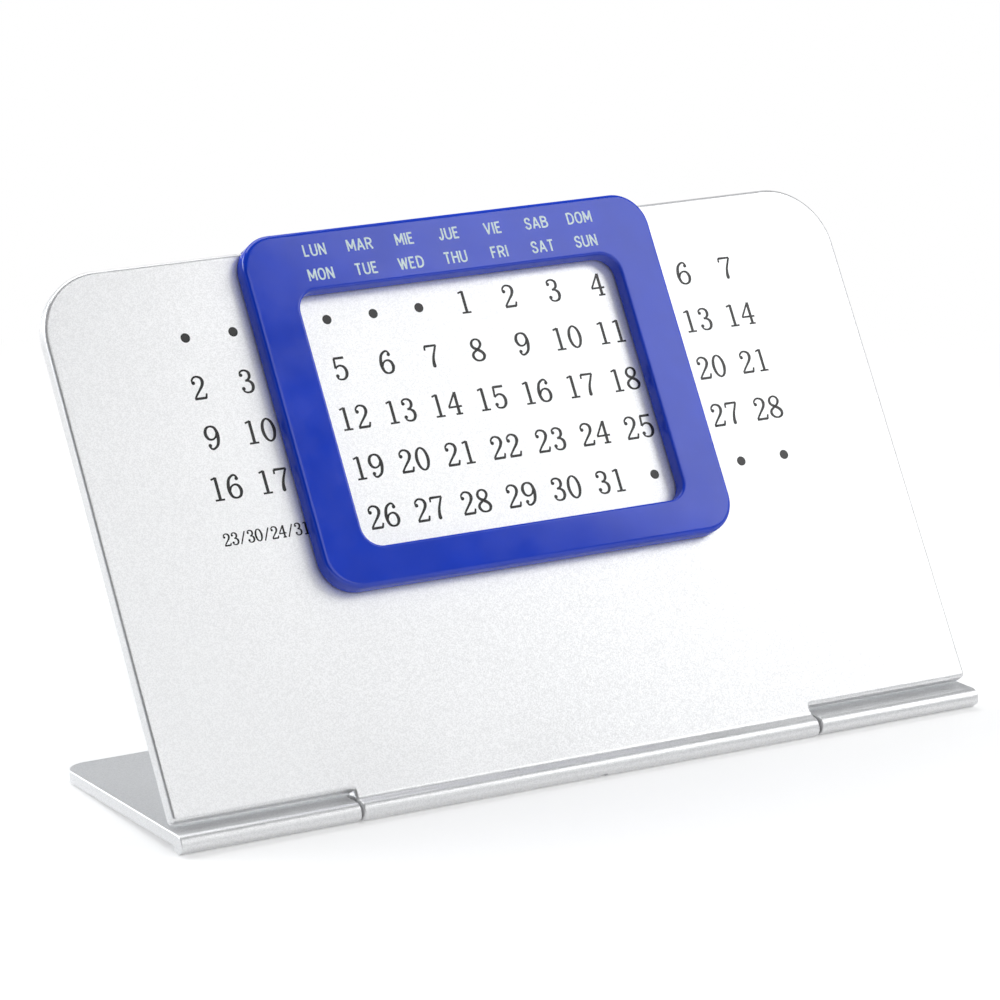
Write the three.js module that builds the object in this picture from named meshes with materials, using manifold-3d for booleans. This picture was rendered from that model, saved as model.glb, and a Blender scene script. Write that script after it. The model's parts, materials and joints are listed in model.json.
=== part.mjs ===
// Perpetual desk calendar.
// A thin panel leans back on a hinged base plate, and a window frame slides along its top edge.
// Millimetres. X runs along the width, Y to the back and Z up. The origin is on the table, at the
// middle of the object's footprint.

import * as THREE from "three";
import { mergeVertices } from "three/addons/utils/BufferGeometryUtils.js";
import Module from "manifold-3d";

const wasm = await Module();
wasm.setup();

// Panel
const panelWidth = 150;
const panelHeight = 91.2; // lower edge of its two ends to its top edge
const panelThickness = 2.65;
const panelTopRadius = 11.1;
const panelLowRadius = 0.8;
const notchRadius = 0.2; // inner corners of the notches at its lower ends
const panelFrontRound = 0.7;
const panelBackRound = 0.35;

// Hinge
const knuckleRadius = 1.65; // the base's knuckles and the panel's barrel alike
const knuckleLength = 31.75;
const barrelEndGap = 0.4;
const barrelEndRound = 0.5;
const barrelCrease = 1.25; // hollow between the barrel and the panel's face
const knuckleCrease = 0.5; // hollow between a knuckle and the base's underside
const panelFaceLead = 0.27; // the panel's front face, ahead of the hinge line
const panelEndLift = 3.63; // hinge line to the lower edge of the panel's two ends
const leanAngle = THREE.MathUtils.degToRad(31); // the panel, from square to the base
const barrelSlope = THREE.MathUtils.degToRad(30); // behind the barrel, from the panel's back face
const stopGap = 0.3; // the panel's back face to the edge that it leans on

// Pins
const pinRadius = 0.7;
const pinReach = 6; // into the barrel, and into the knuckle
const pinEndRound = 0.15;
const pinClearance = 0.15;
const pinEndClearance = 0.3;

// Base
const baseOverhang = 0.35; // each end of the base past the panel's
const baseDepth = 42.75; // hinge line to the rear edge
const baseThickness = 2.15;
const baseRearRadius = 4;
const baseEdgeRound = 0.25;
const cutoutRadius = 0.6;

// Slider
const sliderWidth = 77.2;
const sliderHeight = 61.2;
const sliderCornerRadius = 6;
const sliderFrontRound = 0.85;
const sliderBackRound = 0.5;
const ringThickness = 2.7;
const bridgeThickness = 1.2; // over the panel's top edge
const lipThickness = 1.5;
const lipHeight = 12; // from the top of the slider
const lipCornerRadius = 3;
const windowWidth = 60.9;
const windowHeight = 44.25;
const windowLift = 6.5; // the width of the frame's lower bar
const windowCornerRadius = 3.5;
const windowRound = 0.5;
const slideClearance = 0.3;
const sliderShift = -0.5; // where the slider stands, from the panel's middle

// Gate mark under the barrel
const gateRadius = 0.75;
const gateDepth = 0.25;
const gateShift = 1.4;

// How finely curves are cut, and how far a cutting tool runs past what it cuts
const arcSteps = 12;
const roundSteps = 4;
const hingeSteps = 36;
const pinSteps = 24;
const overrun = 2;
const mergeShare = 1e-5;

const silver = { color: 0xc9ccd2, roughness: 0.38, metalness: 0.35 };
const blue = { color: 0x2f46b8, roughness: 0.18, metalness: 0 };
const steel = { color: 0xb9bcc0, roughness: 0.3, metalness: 1 };

// Worked out from the driving dimensions
const panelHalf = panelWidth / 2;
const baseHalf = panelHalf + baseOverhang;
const panelFront = -panelFaceLead;
const panelBack = panelThickness - panelFaceLead;
const panelTop = panelEndLift + panelHeight;
const knuckleInner = baseHalf - knuckleLength;
const barrelHalf = knuckleInner - barrelEndGap;
const baseTop = knuckleRadius;
const baseUnderside = baseTop - baseThickness;

// Where the slope behind the barrel reaches the panel's back face
const slopeTop = (panelBack * Math.cos(barrelSlope) - knuckleRadius) / Math.sin(barrelSlope);

// The cut-out's rear wall, set so that the panel leans on its upper edge.
const cutoutRear =
  (stopGap + baseEdgeRound + panelBack + (baseTop - baseEdgeRound) * Math.sin(leanAngle)) /
    Math.cos(leanAngle) -
  baseEdgeRound;

// The base stands on its knuckles and on its rounded lower rear edge, which is nearer the hinge
// line's level than the knuckles' feet are, so the plate slopes down to the rear.
const rearRoundReach = baseDepth - baseEdgeRound;
const rearRoundLift = baseUnderside + baseEdgeRound;
const baseTilt =
  Math.asin((knuckleRadius - baseEdgeRound) / Math.hypot(rearRoundReach, rearRoundLift)) +
  Math.atan2(rearRoundLift, rearRoundReach);

/** Points of an arc, both ends included. */
function arc(centreX, centreY, radius, from, to, steps) {
  return Array.from({ length: steps + 1 }, (_, i) => {
    const angle = from + ((to - from) * i) / steps;
    return new THREE.Vector2(centreX + radius * Math.cos(angle), centreY + radius * Math.sin(angle));
  });
}

/**
 * Outline of a right-angled polygon, listed anticlockwise as [x, y, corner radius] and drawn in by
 * `inset`. A corner that sticks out loses the inset from its radius, and one that cuts in gains it.
 */
function outline(corners, inset = 0) {
  return corners.flatMap(([x, y, radius], i) => {
    const [beforeX, beforeY] = corners.at(i - 1);
    const [afterX, afterY] = corners[(i + 1) % corners.length];
    const comes = new THREE.Vector2(x - beforeX, y - beforeY).normalize();
    const goes = new THREE.Vector2(afterX - x, afterY - y).normalize();
    const turn = Math.sign(comes.cross(goes));
    const rounding = radius - turn * inset;
    const inward = new THREE.Vector2(-comes.y - goes.y, comes.x + goes.x);
    const centre = new THREE.Vector2(x, y).addScaledVector(inward, inset + turn * rounding);
    const start = Math.atan2(-comes.x * turn, comes.y * turn);
    return arc(centre.x, centre.y, rounding, start, start + (turn * Math.PI) / 2, arcSteps);
  });
}

/** Corners of a rectangle, anticlockwise from the lower left, with its lower and upper radii. */
function rectangle(left, right, low, high, lowRadius, highRadius = lowRadius) {
  return [
    [left, low, lowRadius],
    [right, low, lowRadius],
    [right, high, highRadius],
    [left, high, highRadius],
  ];
}

/** Levels of a rounded edge as [height, inset], from its face at `height` on in direction `way`. */
function roundedEdge(height, radius, way) {
  const steps = radius > 0 ? roundSteps : 0;
  return Array.from({ length: steps + 1 }, (_, i) => {
    const angle = (Math.PI / 2) * (1 - i / roundSteps);
    return [height + way * radius * (1 - Math.sin(angle)), radius * (1 - Math.cos(angle))];
  });
}

/** A solid along Z whose section at each level is `section(inset)`, closed by flat ends. */
function loft(section, levels) {
  const rings = levels.map(([, inset]) => section(inset));
  const count = rings[0].length;
  const positions = rings.flatMap((ring, i) => ring.flatMap(({ x, y }) => [x, y, levels[i][0]]));
  const faces = [];
  for (let ring = 0; ring + 1 < rings.length; ring += 1) {
    for (let i = 0; i < count; i += 1) {
      const a = ring * count + i;
      const b = ring * count + ((i + 1) % count);
      faces.push(a, b, b + count, a, b + count, a + count);
    }
  }
  for (const [a, b, c] of THREE.ShapeUtils.triangulateShape(rings[0], [])) {
    faces.push(a, c, b);
  }
  const last = (rings.length - 1) * count;
  for (const [a, b, c] of THREE.ShapeUtils.triangulateShape(rings.at(-1), [])) {
    faces.push(last + a, last + b, last + c);
  }
  const geometry = new THREE.BufferGeometry();
  geometry.setAttribute("position", new THREE.Float32BufferAttribute(positions, 3));
  geometry.setIndex(faces);
  return geometry;
}

/** A solid along Z from `low` to `high` with rounded edges round both ends. */
function rounded(section, low, high, lowRound, highRound) {
  return loft(section, [
    ...roundedEdge(low, lowRound, 1),
    ...roundedEdge(high, highRound, -1).reverse(),
  ]);
}

/** Stands a solid drawn flat in (x, y) upright, so that its upper face becomes the front. */
function upright(geometry) {
  return geometry.rotateX(Math.PI / 2);
}

/** Turns a solid whose section is drawn in (x, y) so that the section lies in (y, z). */
function alongX(geometry) {
  return geometry.rotateX(Math.PI / 2).rotateZ(Math.PI / 2);
}

/** A round bar along X with rounded ends. */
function bar(radius, left, right, endRound) {
  const shoulder = radius - endRound;
  const profile = [
    new THREE.Vector2(0, left),
    ...arc(shoulder, left + endRound, endRound, -Math.PI / 2, 0, roundSteps),
    ...arc(shoulder, right - endRound, endRound, 0, Math.PI / 2, roundSteps),
    new THREE.Vector2(0, right),
  ];
  return new THREE.LatheGeometry(profile, pinSteps).rotateZ(-Math.PI / 2);
}

/** A closed geometry as a solid that can be joined and cut. */
function solid(geometry) {
  const bare = geometry.clone();
  bare.deleteAttribute("normal");
  bare.deleteAttribute("uv");
  const merged = mergeVertices(bare, knuckleRadius * mergeShare);
  const corners = merged.index.array;
  const kept = [];
  for (let i = 0; i < corners.length; i += 3) {
    const [a, b, c] = corners.slice(i, i + 3);
    if (a !== b && b !== c && c !== a) {
      kept.push(a, b, c);
    }
  }
  return new wasm.Manifold(
    new wasm.Mesh({
      numProp: 3,
      vertProperties: merged.attributes.position.array,
      triVerts: Uint32Array.from(kept),
    }),
  );
}

/** A named mesh of a finished solid. */
function piece(name, body, finish) {
  const { vertProperties, triVerts } = body.getMesh();
  const geometry = new THREE.BufferGeometry();
  geometry.setAttribute("position", new THREE.BufferAttribute(vertProperties, 3));
  geometry.setIndex(new THREE.BufferAttribute(triVerts, 1));
  geometry.computeVertexNormals();
  const mesh = new THREE.Mesh(
    geometry,
    new THREE.MeshStandardMaterial({ ...finish, flatShading: true }),
  );
  mesh.name = name;
  return mesh;
}

/**
 * The hinge's round and the hollow of radius `crease` that joins it to a face, drawn in by `inset`.
 * Points are (out past the face, along it), seen from the hinge line. They run from the face, which
 * lies `lead` out from that line, round to the angle `last`.
 */
function hingeRound(lead, crease, last, inset) {
  const out = lead + crease;
  const along = Math.sqrt((knuckleRadius + crease) ** 2 - out ** 2);
  const touch = Math.atan2(along, out);
  return [
    ...arc(out, along, crease + inset, Math.PI, Math.PI + touch, roundSteps),
    ...arc(0, 0, knuckleRadius - inset, touch, last, hingeSteps).slice(1),
  ];
}

/** The panel's foot in (y, z): its barrel in front, and the slope up to its back face. */
function footSection(inset) {
  const front = hingeRound(panelFaceLead, barrelCrease, barrelSlope - Math.PI, inset).map(
    ({ x, y }) => new THREE.Vector2(-x, y),
  );
  const back = panelBack - inset;
  const slopeEnd =
    (back * Math.cos(barrelSlope) - (knuckleRadius - inset)) / Math.sin(barrelSlope);
  return [...front, new THREE.Vector2(back, slopeEnd), new THREE.Vector2(back, front[0].y)];
}

/** The base's front edge in (y, z): its knuckle, level on top and hollowed into the underside. */
function knuckleSection(inset) {
  const round = hingeRound(-baseUnderside, knuckleCrease, -Math.PI, inset).map(
    ({ x, y }) => new THREE.Vector2(y, -x),
  );
  return [...round, new THREE.Vector2(round[0].x, baseTop - inset)].reverse();
}

/** The blind hole for a pin, from a hinge end at `mouth` on in direction `way`. */
function pinHole(mouth, way) {
  const ends = [mouth - way * overrun, mouth + way * (pinReach + pinEndClearance)];
  return solid(bar(pinRadius + pinClearance, Math.min(...ends), Math.max(...ends), pinEndRound));
}

/** The printed panel with its barrel, in its own frame on the hinge line. */
function makePanel() {
  const corners = [
    [-barrelHalf, slopeTop, panelLowRadius],
    [barrelHalf, slopeTop, panelLowRadius],
    [barrelHalf, panelEndLift, notchRadius],
    [panelHalf, panelEndLift, panelLowRadius],
    [panelHalf, panelTop, panelTopRadius],
    [-panelHalf, panelTop, panelTopRadius],
    [-panelHalf, panelEndLift, panelLowRadius],
    [-barrelHalf, panelEndLift, notchRadius],
  ];
  const leaf = rounded(
    (inset) => outline(corners, inset), -panelBack, -panelFront, panelBackRound, panelFrontRound,
  );
  const foot = rounded(footSection, -barrelHalf, barrelHalf, barrelEndRound, barrelEndRound);
  const gate = new THREE.CylinderGeometry(gateRadius, gateRadius, overrun, pinSteps)
    .rotateX(Math.PI / 2)
    .translate(gateShift, 0, gateDepth - knuckleRadius - overrun / 2);
  return solid(upright(leaf))
    .add(solid(alongX(foot)))
    .subtract(pinHole(barrelHalf, -1))
    .subtract(pinHole(-barrelHalf, 1))
    .subtract(solid(gate));
}

/** The base plate with its two knuckles, in its own frame on the hinge line. */
function makeBase() {
  const front = -baseEdgeRound;
  const corners = [
    [knuckleInner, front, baseEdgeRound],
    [baseHalf, front, baseEdgeRound],
    [baseHalf, baseDepth, baseRearRadius],
    [-baseHalf, baseDepth, baseRearRadius],
    [-baseHalf, front, baseEdgeRound],
    [-knuckleInner, front, baseEdgeRound],
    [-knuckleInner, cutoutRear, cutoutRadius],
    [knuckleInner, cutoutRear, cutoutRadius],
  ];
  const plate = rounded(
    (inset) => outline(corners, inset), baseUnderside, baseTop, baseEdgeRound, baseEdgeRound,
  );
  const knuckle = rounded(knuckleSection, knuckleInner, baseHalf, baseEdgeRound, baseEdgeRound);
  const rightKnuckle = alongX(knuckle);
  const leftKnuckle = rightKnuckle.clone().translate(-baseHalf - knuckleInner, 0, 0);
  return solid(plate)
    .add(solid(rightKnuckle))
    .add(solid(leftKnuckle))
    .subtract(pinHole(knuckleInner, 1))
    .subtract(pinHole(-knuckleInner, -1));
}

/** The window frame that hangs over the panel's top edge, in the panel's frame. */
function makeSlider() {
  const half = sliderWidth / 2;
  const slotTop = panelTop + slideClearance;
  const top = slotTop + bridgeThickness;
  const low = top - sliderHeight;
  const ringBack = panelFront - slideClearance;
  const ringFront = ringBack - ringThickness;
  const lipFront = panelBack + slideClearance;
  const lipBack = lipFront + lipThickness;

  const ringCorners = rectangle(-half, half, low, top, sliderCornerRadius);
  const ringOutline = (inset) => outline(ringCorners, inset);
  const ring = rounded(ringOutline, -ringBack, -ringFront, 0, sliderFrontRound);

  const lipCorners = rectangle(
    -half, half, top - lipHeight, top, lipCornerRadius, sliderCornerRadius,
  );
  const lip = rounded(
    (inset) => outline(lipCorners, inset), -lipBack, -lipFront, sliderBackRound, 0,
  );

  const cap = rounded(ringOutline, sliderBackRound - lipBack, -ringFront - sliderFrontRound, 0, 0);
  const slot = new THREE.BoxGeometry(
    sliderWidth + overrun * 2, lipBack - ringFront + overrun * 2, sliderHeight,
  ).translate(0, (ringFront + lipBack) / 2, slotTop - sliderHeight / 2);
  const bridge = solid(upright(cap)).subtract(solid(slot));

  const windowLow = low + windowLift;
  const windowCorners = rectangle(
    -windowWidth / 2, windowWidth / 2, windowLow, windowLow + windowHeight, windowCornerRadius,
  );
  const flare = roundedEdge(-ringFront, windowRound, -1).map(([height, inset]) => [height, -inset]);
  const window = loft(
    (inset) => outline(windowCorners, inset),
    [[-ringBack - overrun, 0], ...flare.reverse(), [overrun - ringFront, -windowRound]],
  );

  return solid(upright(ring)).subtract(solid(upright(window))).add(solid(upright(lip))).add(bridge);
}

/** A hinge pin, half in the barrel and half in a knuckle, on the side given by `side`. */
function makePin(side) {
  const ends = [side * (barrelHalf - pinReach), side * (knuckleInner + pinReach)];
  return solid(bar(pinRadius, Math.min(...ends), Math.max(...ends), pinEndRound));
}

const base = new THREE.Group();
base.rotation.x = -baseTilt;
base.add(
  piece("base_plate", makeBase(), silver),
  piece("hinge_pin_left", makePin(-1), steel),
  piece("hinge_pin_right", makePin(1), steel),
);

const panel = new THREE.Group();
panel.rotation.x = -baseTilt - leanAngle;
panel.add(piece("calendar_panel", makePanel(), silver));

const slider = new THREE.Group();
slider.position.x = sliderShift;
slider.add(piece("slider_frame", makeSlider(), blue));
panel.add(slider);

const calendar = new THREE.Group();
calendar.name = "perpetual_desk_calendar";
calendar.add(base, panel);

// Stands the calendar on the table with the origin under its middle.
const extent = new THREE.Box3().setFromObject(calendar, true);
calendar.position.set(
  -(extent.min.x + extent.max.x) / 2,
  -(extent.min.y + extent.max.y) / 2,
  -extent.min.z,
);
calendar.updateMatrixWorld(true);

export default calendar;
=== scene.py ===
"""Looks of the perpetual desk calendar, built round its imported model.

A silver panel printed with the days of the month leans back on a hinged base. A blue frame with a
window hangs over the panel's top edge and slides along it, under its own row of weekday names.

Sizes are millimetres in a sub-assembly's own frame, which stands on the hinge line: x to the reader's
right, y back through the panel or along the base, and z square to both. HingeFrame carries them over
to metres in the frame that the whole model shares.
"""

from __future__ import annotations

import json
import logging
import math
from collections.abc import Callable, Iterable, Mapping
from dataclasses import dataclass, field, replace
from enum import Enum

import bmesh
import bpy
import numpy as np
from mathutils import Matrix, Vector

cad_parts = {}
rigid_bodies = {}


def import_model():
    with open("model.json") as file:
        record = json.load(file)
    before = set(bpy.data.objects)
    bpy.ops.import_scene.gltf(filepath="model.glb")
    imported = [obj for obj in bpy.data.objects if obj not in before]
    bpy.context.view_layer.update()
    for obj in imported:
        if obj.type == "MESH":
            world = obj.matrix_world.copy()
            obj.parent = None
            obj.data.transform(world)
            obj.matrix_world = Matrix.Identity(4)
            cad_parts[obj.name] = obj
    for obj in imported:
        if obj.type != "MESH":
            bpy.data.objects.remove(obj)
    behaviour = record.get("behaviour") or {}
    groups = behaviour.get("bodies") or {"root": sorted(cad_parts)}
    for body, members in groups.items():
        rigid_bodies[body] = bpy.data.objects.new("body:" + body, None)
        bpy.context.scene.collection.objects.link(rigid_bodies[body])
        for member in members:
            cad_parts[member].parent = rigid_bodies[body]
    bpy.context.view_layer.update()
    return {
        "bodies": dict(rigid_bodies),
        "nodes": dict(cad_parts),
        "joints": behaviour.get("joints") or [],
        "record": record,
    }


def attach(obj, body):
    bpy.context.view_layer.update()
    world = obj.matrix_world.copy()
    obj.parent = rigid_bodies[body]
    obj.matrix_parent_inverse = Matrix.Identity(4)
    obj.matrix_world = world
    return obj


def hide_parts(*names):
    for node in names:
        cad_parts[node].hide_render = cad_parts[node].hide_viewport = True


Array = np.ndarray
Pair = tuple[float, float]
Triple = tuple[float, float, float]
Colour = Triple
Socket = bpy.types.NodeSocket
Inputs = Mapping[str | int, object]

LOG = logging.getLogger("desk_calendar")
METRES_PER_MM = 0.001
METRES_PER_MICROMETRE = 1e-6

# How finely curves are cut
CORNER_STEPS = 18
EDGE_STEPS = 6
CREASE_STEPS = 8
ROUND_STEPS = 96
PIN_STEPS = 32

# Points nearer together than this are one, in millimetres
WELD_DISTANCE = 2e-5
# Decimals of a millimetre that points are rounded to
POINT_DECIMALS = 5
# Edges that turn by more than this are shaded sharp
SHARP_ANGLE = math.radians(38)
# How far a solid that is cut out reaches past what it is cut from
OVERRUN = 2.0
# Nearly all of a noise lies between these values
NOISE_RANGE = (0.3, 0.7)
# Where lamps are aimed, in metres
LAMP_TARGET = (0.0, 0.0, 0.04)
# Corners of a square that reaches 1 out from its middle
SQUARE = ((-1, -1), (1, -1), (1, 1), (-1, 1))

# How far the base slopes down to the back from its knuckles, in radians
BASE_TILT = 0.0270643
# How far the panel leans back from square to the base
LEAN = math.radians(31)
# How far the frame stands to the right of the panel's middle, in millimetres
FRAME_SHIFT = -0.5


def unit(vectors: Array) -> Array:
    """Vectors scaled to length 1."""
    return vectors / np.linalg.norm(vectors, axis=-1, keepdims=True)


def arc(centre: Pair, radius: float, start: float, end: float, steps: int) -> Array:
    """Points of an arc: centre + radius (cos a, sin a), with a even from start to end.

    Args:
        centre: The arc's centre.
        radius: Its radius.
        start: First angle, in radians.
        end: Last angle, in radians.
        steps: Number of chords.

    Returns:
        Points as rows of (x, y), both ends included.
    """
    angles = np.linspace(start, end, steps + 1)
    return np.asarray(centre) + radius * np.column_stack((np.cos(angles), np.sin(angles)))


def circle(centre: Pair, radius: float, steps: int) -> Array:
    """Points of a circle: centre + radius (cos a, sin a), with a even from 0 up to 2 pi.

    Args:
        centre: The circle's centre.
        radius: Its radius.
        steps: Number of points.

    Returns:
        Points as rows of (x, y).
    """
    angles = np.linspace(0.0, 2 * math.pi, steps, endpoint=False)
    return radius * np.column_stack((np.cos(angles), np.sin(angles))) + centre


def outline(corners: Array, inset: float = 0.0) -> Array:
    """Draws round a right-angled polygon, drawn in by `inset`.

    Each corner is a quarter circle of radius r - turn * inset, where turn is 1 at a corner that sticks
    out and -1 at one that cuts in, about a centre that stays where it is as the outline is drawn in.

    Args:
        corners: Rows of (x, y, corner radius), anticlockwise.
        inset: Distance inwards, negative for outwards.

    Returns:
        Points as rows of (x, y), the same number at every inset.
    """
    places, radii = corners[:, :2], corners[:, 2]
    comes = unit(places - np.roll(places, 1, axis=0))
    goes = unit(np.roll(places, -1, axis=0) - places)
    turn = np.sign(comes[:, 0] * goes[:, 1] - comes[:, 1] * goes[:, 0])
    rounding = radii - turn * inset
    inward = np.column_stack((-comes[:, 1] - goes[:, 1], comes[:, 0] + goes[:, 0]))
    centres = places + inward * (inset + turn * rounding)[:, None]
    start = np.arctan2(-comes[:, 0] * turn, comes[:, 1] * turn)
    swing = np.linspace(0.0, math.pi / 2, CORNER_STEPS + 1)
    angles = start[:, None] + turn[:, None] * swing
    spokes = np.stack((np.cos(angles), np.sin(angles)), axis=-1)
    return (centres[:, None, :] + rounding[:, None, None] * spokes).reshape(-1, 2)


def rectangle(half: float, low: float, high: float, radii: Pair) -> Array:
    """Corners of a rectangle about x = 0 for `outline`, with its lower and its upper corner radius."""
    below, above = radii
    return np.array([[-half, low, below], [half, low, below], [half, high, above], [-half, high, above]])


def rounded_edge(face: float, radius: float, way: float) -> Array:
    """Levels of a rounded edge: height = face + way r (1 - sin a) and inset = r (1 - cos a).

    Args:
        face: Height of the flat face that the edge runs out of.
        radius: Radius of the edge.
        way: 1 where heights grow away from the face and -1 where they fall.

    Returns:
        Rows of (height, inset), from the face on.
    """
    angles = np.linspace(math.pi / 2, 0.0, EDGE_STEPS + 1)
    return np.column_stack((face + way * radius * (1 - np.sin(angles)), radius * (1 - np.cos(angles))))


@dataclass(frozen=True)
class Shell:
    """A closed surface.

    Attributes:
        points: Rows of (x, y, z), in millimetres.
        quads: Rows of four point numbers.
        caps: Flat faces with any number of corners.
    """

    points: Array
    quads: Array
    caps: tuple[tuple[int, ...], ...] = ()

    def volume(self) -> float:
        """The sum over triangles of a . (b x c) / 6: what it encloses, above 0 if faces look outwards."""
        fans = [np.asarray(cap) for cap in self.caps]
        triangles = [self.quads[:, [0, 1, 2]], self.quads[:, [0, 2, 3]]]
        triangles += [np.column_stack((np.full(len(f) - 2, f[0]), f[1:-1], f[2:])) for f in fans]
        a, b, c = np.moveaxis(self.points[np.concatenate(triangles)], 1, 0)
        return float(np.einsum("ij,ij->", a, np.cross(b, c)) / 6)

    def outward(self) -> Shell:
        """The same surface with its faces turned outwards."""
        if self.volume() >= 0:
            return self
        return Shell(self.points, self.quads[:, ::-1], tuple(cap[::-1] for cap in self.caps))

    def moved(self, change: Callable[[Array], Array]) -> Shell:
        """The surface with `change` made to all its points, and its faces still outwards."""
        return Shell(change(self.points), self.quads, self.caps).outward()


def skin(rings: Array, looped: bool = False) -> Shell:
    """Skins rings of points: S(i, j) = rings[i, j], joined round each ring and from ring to ring.

    Args:
        rings: Points as an array of (ring, point, 3).
        looped: Joins the last ring to the first; otherwise each end gets a flat face.

    Returns:
        The closed surface.
    """
    count, size = rings.shape[:2]
    numbers = np.arange(count * size).reshape(count, size)
    low = numbers if looped else numbers[:-1]
    high = np.roll(numbers, -1, axis=0) if looped else numbers[1:]
    quads = np.stack((low, np.roll(low, -1, axis=1), np.roll(high, -1, axis=1), high), axis=-1)
    caps = () if looped else (tuple(numbers[0][::-1].tolist()), tuple(numbers[-1].tolist()))
    return Shell(rings.reshape(-1, 3), quads.reshape(-1, 4), caps).outward()


def stack(section: Callable[[float], Array], levels: Array) -> Array:
    """Rings for `skin`: at each level (height, inset) the flat section drawn in by inset.

    Args:
        section: Gives the section's points (x, y) at an inset.
        levels: Rows of (height, inset).

    Returns:
        Points as an array of (level, point, 3), with the height last.
    """
    rings = np.array([section(inset) for _, inset in levels])
    heights = np.broadcast_to(levels[:, :1, None], (*rings.shape[:2], 1))
    return np.concatenate((rings, heights), axis=-1)


def prism(section: Array, low: float, high: float) -> Shell:
    """A solid with the same section (x, y) at every height from `low` to `high`."""
    return skin(stack(lambda _: section, np.array([[low, 0.0], [high, 0.0]])))


def slab(
    section: Callable[[float], Array], low: float, high: float, rounds: Pair
) -> Shell:
    """A solid from height `low` to `high` whose two faces have rounded edges.

    Args:
        section: Gives the section's points at an inset.
        low: Height of the lower face.
        high: Height of the upper face.
        rounds: Edge radius at the lower and at the upper face.

    Returns:
        The closed surface, with the height last.
    """
    levels = np.vstack((rounded_edge(low, rounds[0], 1), rounded_edge(high, rounds[1], -1)[::-1]))
    return skin(stack(section, levels))


def upright(points: Array) -> Array:
    """Stands a solid drawn flat upright, its upper face to the front: (x, y, h) to (x, -h, y)."""
    x, y, height = points.T
    return np.column_stack((x, -height, y))


def along_x(points: Array) -> Array:
    """Turns a solid whose section is drawn flat so that it runs along x: (s, t, h) to (h, s, t)."""
    s, t, height = points.T
    return np.column_stack((height, s, t))


def bar(radius: float, left: float, right: float) -> Shell:
    """A round bar along x: (x, r cos a, r sin a), with a from 0 to 2 pi and x at its two ends."""
    return prism(circle((0.0, 0.0), radius, PIN_STEPS), left, right).moved(along_x)


@dataclass(frozen=True)
class HingeFrame:
    """A frame on the hinge line.

    Attributes:
        line: The hinge line's middle in the shared frame, in metres.
        tilt: How far it tips back, in radians.
        shift: How far it stands along the hinge line, in millimetres.
    """

    line: Triple
    tilt: float
    shift: float = 0.0

    def place(self, points: Array) -> Array:
        """Millimetres here to metres in the shared frame.

        With t the tilt, y goes to line + y cos t + z sin t and z to line - y sin t + z cos t.

        Args:
            points: Rows of (x, y, z) in this frame.

        Returns:
            Rows of (x, y, z) in the shared frame.
        """
        x, y, z = points.T
        cosine, sine = math.cos(self.tilt), math.sin(self.tilt)
        turned = np.column_stack((x + self.shift, y * cosine + z * sine, z * cosine - y * sine))
        return np.asarray(self.line) + turned * METRES_PER_MM


class Combine(Enum):
    """How one solid is combined with another."""

    ADD = "UNION"
    CUT = "DIFFERENCE"


def new_object(name: str, data: bpy.types.ID) -> bpy.types.Object:
    """Makes an object and links it to the scene.

    Args:
        name: Its name.
        data: Its mesh, lamp or camera.

    Returns:
        The object.
    """
    made = bpy.data.objects.new(name, data)
    bpy.context.scene.collection.objects.link(made)
    return made


def mesh_object(name: str, shells: Iterable[Shell]) -> bpy.types.Object:
    """Puts closed surfaces into one mesh object.

    Points are rounded alike, so that faces of two solids that are meant to lie in one plane do.

    Args:
        name: The object's name.
        shells: The surfaces.

    Returns:
        The object, linked to the scene.
    """
    points, faces, start = [], [], 0
    for shell in shells:
        points.append(np.round(shell.points, POINT_DECIMALS))
        faces += (shell.quads + start).tolist()
        faces += [[number + start for number in cap] for cap in shell.caps]
        start += len(shell.points)
    mesh = bpy.data.meshes.new(name)
    mesh.from_pydata(np.vstack(points).tolist(), [], faces)
    return new_object(name, mesh)


def weld(mesh: bpy.types.Mesh) -> None:
    """Merges points that coincide and drops the faces that this closes up.

    Args:
        mesh: The mesh, which is changed.
    """
    work = bmesh.new()
    work.from_mesh(mesh)
    bmesh.ops.remove_doubles(work, verts=work.verts, dist=WELD_DISTANCE)
    bmesh.ops.dissolve_degenerate(work, dist=WELD_DISTANCE, edges=work.edges)
    work.to_mesh(mesh)
    work.free()


def settle(piece: bpy.types.Object) -> None:
    """Replaces a piece's mesh by what its modifiers make of it.

    Args:
        piece: The piece, which keeps none of its modifiers.
    """
    graph = bpy.context.evaluated_depsgraph_get()
    made = bpy.data.meshes.new_from_object(piece.evaluated_get(graph))
    before = piece.data
    piece.modifiers.clear()
    piece.data = made
    made.name = piece.name
    bpy.data.meshes.remove(before)


def place_mesh(piece: bpy.types.Object, frame: HingeFrame) -> None:
    """Carries a piece's mesh from its own frame over to the shared one.

    Args:
        piece: The piece, drawn in millimetres.
        frame: The frame that it was drawn in.
    """
    count = len(piece.data.vertices)
    points = np.empty(count * 3)
    piece.data.vertices.foreach_get("co", points)
    piece.data.vertices.foreach_set("co", frame.place(points.reshape(-1, 3)).ravel())
    piece.data.update()


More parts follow.
